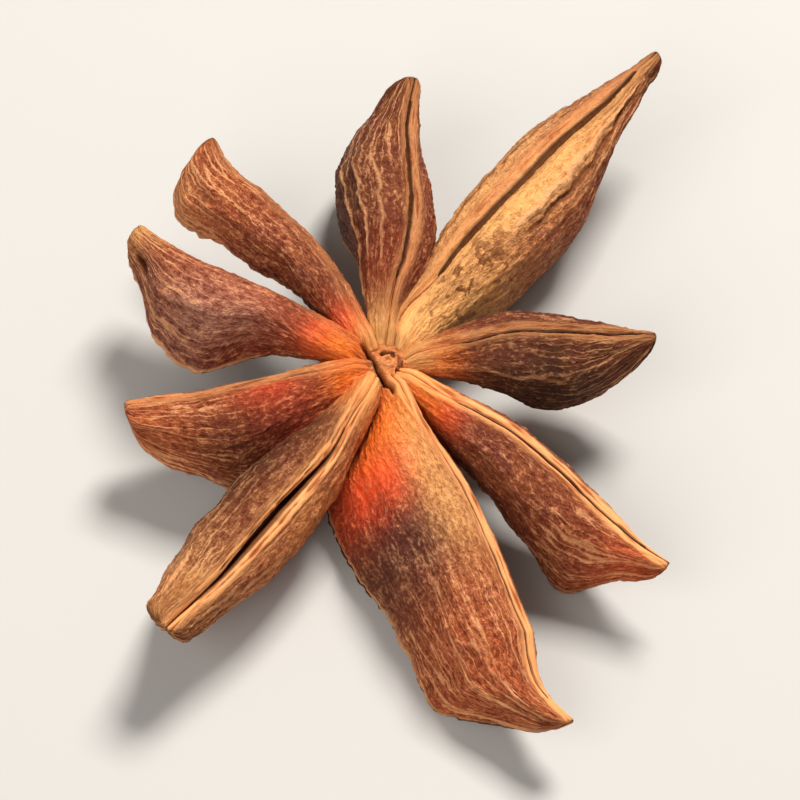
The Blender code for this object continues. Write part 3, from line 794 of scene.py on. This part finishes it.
def dried_skin_tree():
    """Geometry nodes that raise the folds, wrinkles and net of the dried skin, given in millimetres."""
    tree = bpy.data.node_groups.new("dried skin", "GeometryNodeTree")
    tree.interface.new_socket("Geometry", in_out="INPUT", socket_type="NodeSocketGeometry")
    for name in RELIEF:
        tree.interface.new_socket(name, in_out="INPUT", socket_type="NodeSocketFloat")
    tree.interface.new_socket("Skin", in_out="INPUT", socket_type="NodeSocketMaterial")
    tree.interface.new_socket("Geometry", in_out="OUTPUT", socket_type="NodeSocketGeometry")
    given = add_node(tree, "NodeGroupInput")
    skin = add_node(tree, "GeometryNodeInputNamedAttribute", {"Name": "skin"}, data_type="FLOAT_VECTOR")
    dry = add_node(tree, "GeometryNodeInputNamedAttribute", {"Name": "dry"}, data_type="FLOAT")
    relief = skin_relief(tree, skin.outputs["Attribute"])
    height = weighted_sum(
        tree, [(relief[part], given.outputs[name]) for name, (part, high) in RELIEF.items()])
    level = add_node(tree, "ShaderNodeMath", {0: given.outputs["Hollow Depth"], 1: -0.8, 2: height},
                     operation="MULTIPLY_ADD")
    metres = add_node(tree, "ShaderNodeMath", {0: level.outputs[0], 1: MM}, operation="MULTIPLY")
    share = add_node(tree, "ShaderNodeMath", {0: metres.outputs[0], 1: dry.outputs["Attribute"]},
                     operation="MULTIPLY")
    crest = add_node(tree, "GeometryNodeInputNamedAttribute", {"Name": "crest"}, data_type="FLOAT")
    share = add_node(tree, "ShaderNodeMath", {0: crest.outputs["Attribute"], 1: MM, 2: share.outputs[0]},
                     operation="MULTIPLY_ADD")
    normal = add_node(tree, "GeometryNodeInputNormal")
    offset = add_node(tree, "ShaderNodeVectorMath", {0: normal.outputs[0], "Scale": share.outputs[0]},
                      operation="SCALE")
    moved = add_node(tree, "GeometryNodeSetPosition",
                     {"Geometry": given.outputs["Geometry"], "Offset": offset.outputs[0]})
    whole = add_node(tree, "GeometryNodeRealizeInstances", {"Geometry": moved.outputs[0]})
    painted = add_node(tree, "GeometryNodeSetMaterial",
                       {"Geometry": whole.outputs[0], "Material": given.outputs["Skin"]})
    add_node(tree, "NodeGroupOutput", {"Geometry": painted.outputs[0]})
    return tree


def raise_skin(thing, tree, sizes):
    """Runs the tree on the object and keeps the result as its plain mesh, with no point below the ground."""
    modifier = thing.modifiers.new("dried skin", "NODES")
    modifier.node_group = tree
    for socket in tree.interface.items_tree:
        if socket.name in sizes:
            modifier[socket.identifier] = sizes[socket.name]
    bpy.context.view_layer.update()
    depsgraph = bpy.context.evaluated_depsgraph_get()
    plain = bpy.data.meshes.new_from_object(
        thing.evaluated_get(depsgraph), preserve_all_data_layers=True, depsgraph=depsgraph)
    thing.modifiers.clear()
    thing.data = plain
    plain.name = thing.name
    points = np.empty(len(plain.vertices) * 3, np.float32)
    plain.vertices.foreach_get("co", points)
    points[2::3] = np.maximum(points[2::3], 0.0)
    plain.vertices.foreach_set("co", points)


def new_material(name, settings):
    """A material with one shader, whose inputs get the settings, and that shader."""
    material = bpy.data.materials.new(name)
    material.use_nodes = True
    shader = material.node_tree.nodes["Principled BSDF"]
    for key, value in settings.items():
        shader.inputs[key].default_value = value
    return material, shader


def husk_material():
    """Dried woody husk: matt and finely wrinkled, pale on its worn ridges, and warm red near the column."""
    material, shader = new_material("dried woody husk", {"IOR": 1.45, "Specular IOR Level": 0.2})
    tree = material.node_tree

    # What the mesh says of each place, and the patterns of the skin
    read = {name: add_node(tree, "ShaderNodeAttribute", attribute_name=name)
            for name in ("skin", "seam", "along", "flank", "lip", "suture", "split", "inside", "dry", "crest",
                         "pits", *KINDS)}
    skin = read["skin"].outputs["Vector"]
    found = {name: node.outputs["Fac"] for name, node in read.items()}
    found.update(skin_relief(tree, skin))
    for name in ("flank", "seam"):
        side = add_node(tree, "ShaderNodeMath", {0: found[name]}, operation="ABSOLUTE")
        found["off " + name] = side.outputs[0]
    lips = add_node(tree, "ShaderNodeCombineXYZ", {0: found["along"], 1: found["seam"]}).outputs[0]
    places = {"skin": skin}
    for name, vector, stretch in (("speckle", skin, SPECKLE_STRETCH), ("streaks", lips, STREAKS)):
        stretched = add_node(tree, "ShaderNodeVectorMath", {0: vector, 1: stretch}, operation="MULTIPLY")
        places[name] = stretched.outputs[0]
    for name, (place, scale, detail, roughness) in HUSK_NOISES.items():
        found[name] = add_node(tree, "ShaderNodeTexNoise", {
            "Vector": places[place], "Scale": scale, "Detail": detail, "Roughness": roughness}).outputs[0]
    for name, (source, *limits) in HUSK_SHARES.items():
        found[name] = add_node(tree, "ShaderNodeMapRange",
                               {0: found[source], **dict(enumerate(limits, 1))}).outputs[0]
    found["outer lines"] = weighted_sum(tree, ((found["lines"], found["outer"]),))
    for name, parts, *limits in HUSK_SUMS:
        total = weighted_sum(tree, [(found[part], weight) for part, weight in parts.items()])
        found[name] = add_node(tree, "ShaderNodeMapRange",
                               {0: total, **dict(enumerate(limits, 1))}).outputs[0]

    # Patches of colour, ragged at their borders, then the layers over them. The dark patches are partly
    # painted shade, and some layers paint shade in recesses.
    colour = linear(PURPLE_BROWN)
    layers = [(("clouded",), linear(BROWN), "MIX")]
    for kind, shade in KINDS.items():
        patch = add_node(tree, "ShaderNodeMath", {0: found[kind], 1: found["ragged"]}, operation="MULTIPLY",
                         use_clamp=True)
        found["patch " + kind] = patch.outputs[0]
        layers.append((("patch " + kind,), linear(shade), "MIX"))
    lip_colour = add_node(tree, "ShaderNodeMix", {
        0: found["streaked"], 6: linear(LIP_BROWN), 7: linear(LIP_TAN)}, data_type="RGBA").outputs[2]
    layers += [
        (("hollow", "dry", "off red", "off tan"), linear(SHADE), "MULTIPLY"),
        (("worn", "dry", "off dark_and_shade"), linear(PALE_RIDGE), "MIX"),
        (("crested",), linear(PALE_RIDGE), "MIX"),
        # Painted shade: the hole of b gets darker by its depth
        (("hole",), linear(SUTURE_BROWN_AND_SHADE), "MIX"),
        (("spotted", "pits"), linear(PIT_BROWN_AND_FURROW_SHADE), "MIX"),
        (("keel edge",), linear(PALE_RIDGE), "MIX"),
        (("lip",), lip_colour, "MIX"),
        # Painted shade: the furrows and the column's dents get darker by their depth
        (("furrow",), linear(PIT_BROWN_AND_FURROW_SHADE), "MIX"),
        (("at seam", "suture"), linear(SUTURE_BROWN_AND_SHADE), "MIX"),
        # Painted shade: the split beside the column gets darker by its depth
        (("in split",), linear(SUTURE_BROWN_AND_SHADE), "MIX"),
        (("inside",), linear(LINING), "MIX"),
    ]
    for names, shade, blend in layers:
        factor = found[names[0]]
        for name in names[1:]:
            factor = weighted_sum(tree, ((factor, found[name]),))
        colour = add_node(tree, "ShaderNodeMix", {0: factor, 6: colour, 7: shade}, data_type="RGBA",
                          blend_type=blend).outputs[2]

    # The finest relief is only bump: on the dried skin, the grain everywhere, and the lips' streaks
    height = weighted_sum(tree, [(found[part], high) for part, high in FINE_HEIGHTS.items()])
    lip_streaks = weighted_sum(tree, ((found["streaks"], found["lip"]),))
    height = weighted_sum(tree, ((height, found["dry"]), (found["grain"], 0.008), (lip_streaks, 0.08)))
    bump = add_node(tree, "ShaderNodeBump", {"Strength": 1.0, "Distance": MM, "Height": height})
    tree.links.new(bump.outputs[0], shader.inputs["Normal"])
    tree.links.new(colour, shader.inputs["Base Color"])
    tree.links.new(found["rough"], shader.inputs["Roughness"])
    return material


def seed_material():
    """Seed coat: a hard, thin shell polished by nature, so it is brown under a clear gloss."""
    material, shader = new_material("glossy seed coat", {
        "Roughness": 0.16, "IOR": 1.5, "Coat Weight": 0.5, "Coat Roughness": 0.12})
    tree = material.node_tree
    place = add_node(tree, "ShaderNodeTexCoord").outputs["Object"]
    mottle = add_node(tree, "ShaderNodeTexNoise", {"Vector": place, "Scale": 1 / (0.8 * MM), "Detail": 3.0})
    colour = add_node(tree, "ShaderNodeMix", {
        0: mottle.outputs[0], 6: linear(SEED_DARK), 7: linear(SEED_BROWN)}, data_type="RGBA")
    tree.links.new(colour.outputs[2], shader.inputs["Base Color"])
    return material


def floor_material():
    """Plain matt board, a pale neutral ground."""
    return new_material("matt board", {"Base Color": linear(FLOOR_PALE), "Roughness": 0.9})[0]


# The camera: the photograph looks down on the star, and this frame is a square part of it round the star
PHOTO_ELEVATION = 58.0
PHOTO_DISTANCE = 250.0
PHOTO_SCALE = 7.5
PHOTO_HUB = (498.0, 300.0)
FRAME_MIDDLE = (503.5, 316.5)
FRAME_SIDE = 307.0

# The studio, in metres and watts: each light's azimuth, elevation, distance, size, power and colour
LIGHTS = (
    ("key light", 150, 56, 0.5, 0.16, 3.7, "fffbf6"),
    ("fill light", -40, 42, 0.6, 0.5, 2.3, "fffcf9"),
)
SKY_PALE, SKY_STRENGTH = "f4f1ec", 0.22
FLOOR_HALF = 2.0

# How far below the star the floor lies, in millimetres, so that nothing shows through it
FLOOR_BELOW = 0.03


def make_camera():
    tilt = math.radians(PHOTO_ELEVATION)
    back = Vector((0, -math.cos(tilt), math.sin(tilt)))
    right = Vector((1, 0, 0))
    up = back.cross(right)
    aside = (FRAME_MIDDLE[0] - PHOTO_HUB[0]) / PHOTO_SCALE
    below = (FRAME_MIDDLE[1] - PHOTO_HUB[1]) / PHOTO_SCALE
    aim = Vector((0, 0, HUB_TOP)) + right * aside - up * below
    data = bpy.data.cameras.new("camera")
    data.sensor_width = 36.0
    data.lens = data.sensor_width * PHOTO_DISTANCE / (FRAME_SIDE / PHOTO_SCALE)
    data.clip_start, data.clip_end = 0.01, 10.0
    camera = bpy.data.objects.new("camera", data)
    camera.location = (aim + back * PHOTO_DISTANCE) * MM
    camera.rotation_mode = "QUATERNION"
    camera.rotation_quaternion = back.to_track_quat("Z", "Y")
    bpy.context.scene.collection.objects.link(camera)
    bpy.context.scene.camera = camera


def add_light(name, azimuth, elevation, distance, size, power, colour):
    """A square soft light that looks at the star. Azimuth 0 is in front, and 90 to the right."""
    data = bpy.data.lights.new(name, "AREA")
    data.shape = "SQUARE"
    data.size = size
    data.energy = power
    data.color = linear(colour)[:3]
    turn, tilt = math.radians(azimuth), math.radians(elevation)
    towards = Vector((math.sin(turn) * math.cos(tilt), -math.cos(turn) * math.cos(tilt), math.sin(tilt)))
    light = bpy.data.objects.new(name, data)
    light.location = towards * distance
    light.rotation_mode = "QUATERNION"
    light.rotation_quaternion = towards.to_track_quat("Z", "Y")
    bpy.context.scene.collection.objects.link(light)


def make_studio():
    """A pale board to lie on, and plain soft light."""
    mesh = bpy.data.meshes.new("floor")
    corners = [(-FLOOR_HALF, -FLOOR_HALF, 0), (FLOOR_HALF, -FLOOR_HALF, 0), (FLOOR_HALF, FLOOR_HALF, 0),
               (-FLOOR_HALF, FLOOR_HALF, 0)]
    mesh.from_pydata(corners, [], [(0, 1, 2, 3)])
    mesh.materials.append(floor_material())
    floor = bpy.data.objects.new("floor", mesh)
    floor.location = (0, 0, -FLOOR_BELOW * MM)
    bpy.context.scene.collection.objects.link(floor)
    for light in LIGHTS:
        add_light(*light)
    world = bpy.data.worlds.new("soft studio")
    world.use_nodes = True
    sky = world.node_tree.nodes["Background"]
    sky.inputs["Color"].default_value = linear(SKY_PALE)
    sky.inputs["Strength"].default_value = SKY_STRENGTH
    bpy.context.scene.world = world
    bpy.context.scene.view_settings.view_transform = "Standard"


def main():
    make_camera()
    make_studio()
    skin = husk_material()
    tree = dried_skin_tree()
    sizes = {"Skin": skin, **{name: high for name, (part, high) in RELIEF.items()}}
    husks = [follicle_object(number, follicle) for number, follicle in enumerate(FOLLICLES)]
    husks.append(column_object())
    for husk in husks:
        turn_faces_out(husk)
        raise_skin(husk, tree, sizes)
        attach(husk, "root")
        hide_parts("pod")
    coat = seed_material()
    for follicle in FOLLICLES:
        if follicle.seed:
            seed = seed_object(follicle)
            turn_faces_out(seed)
            seed.data.materials.append(coat)
            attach(seed, "root")
            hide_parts("seed_" + follicle.name)


main()
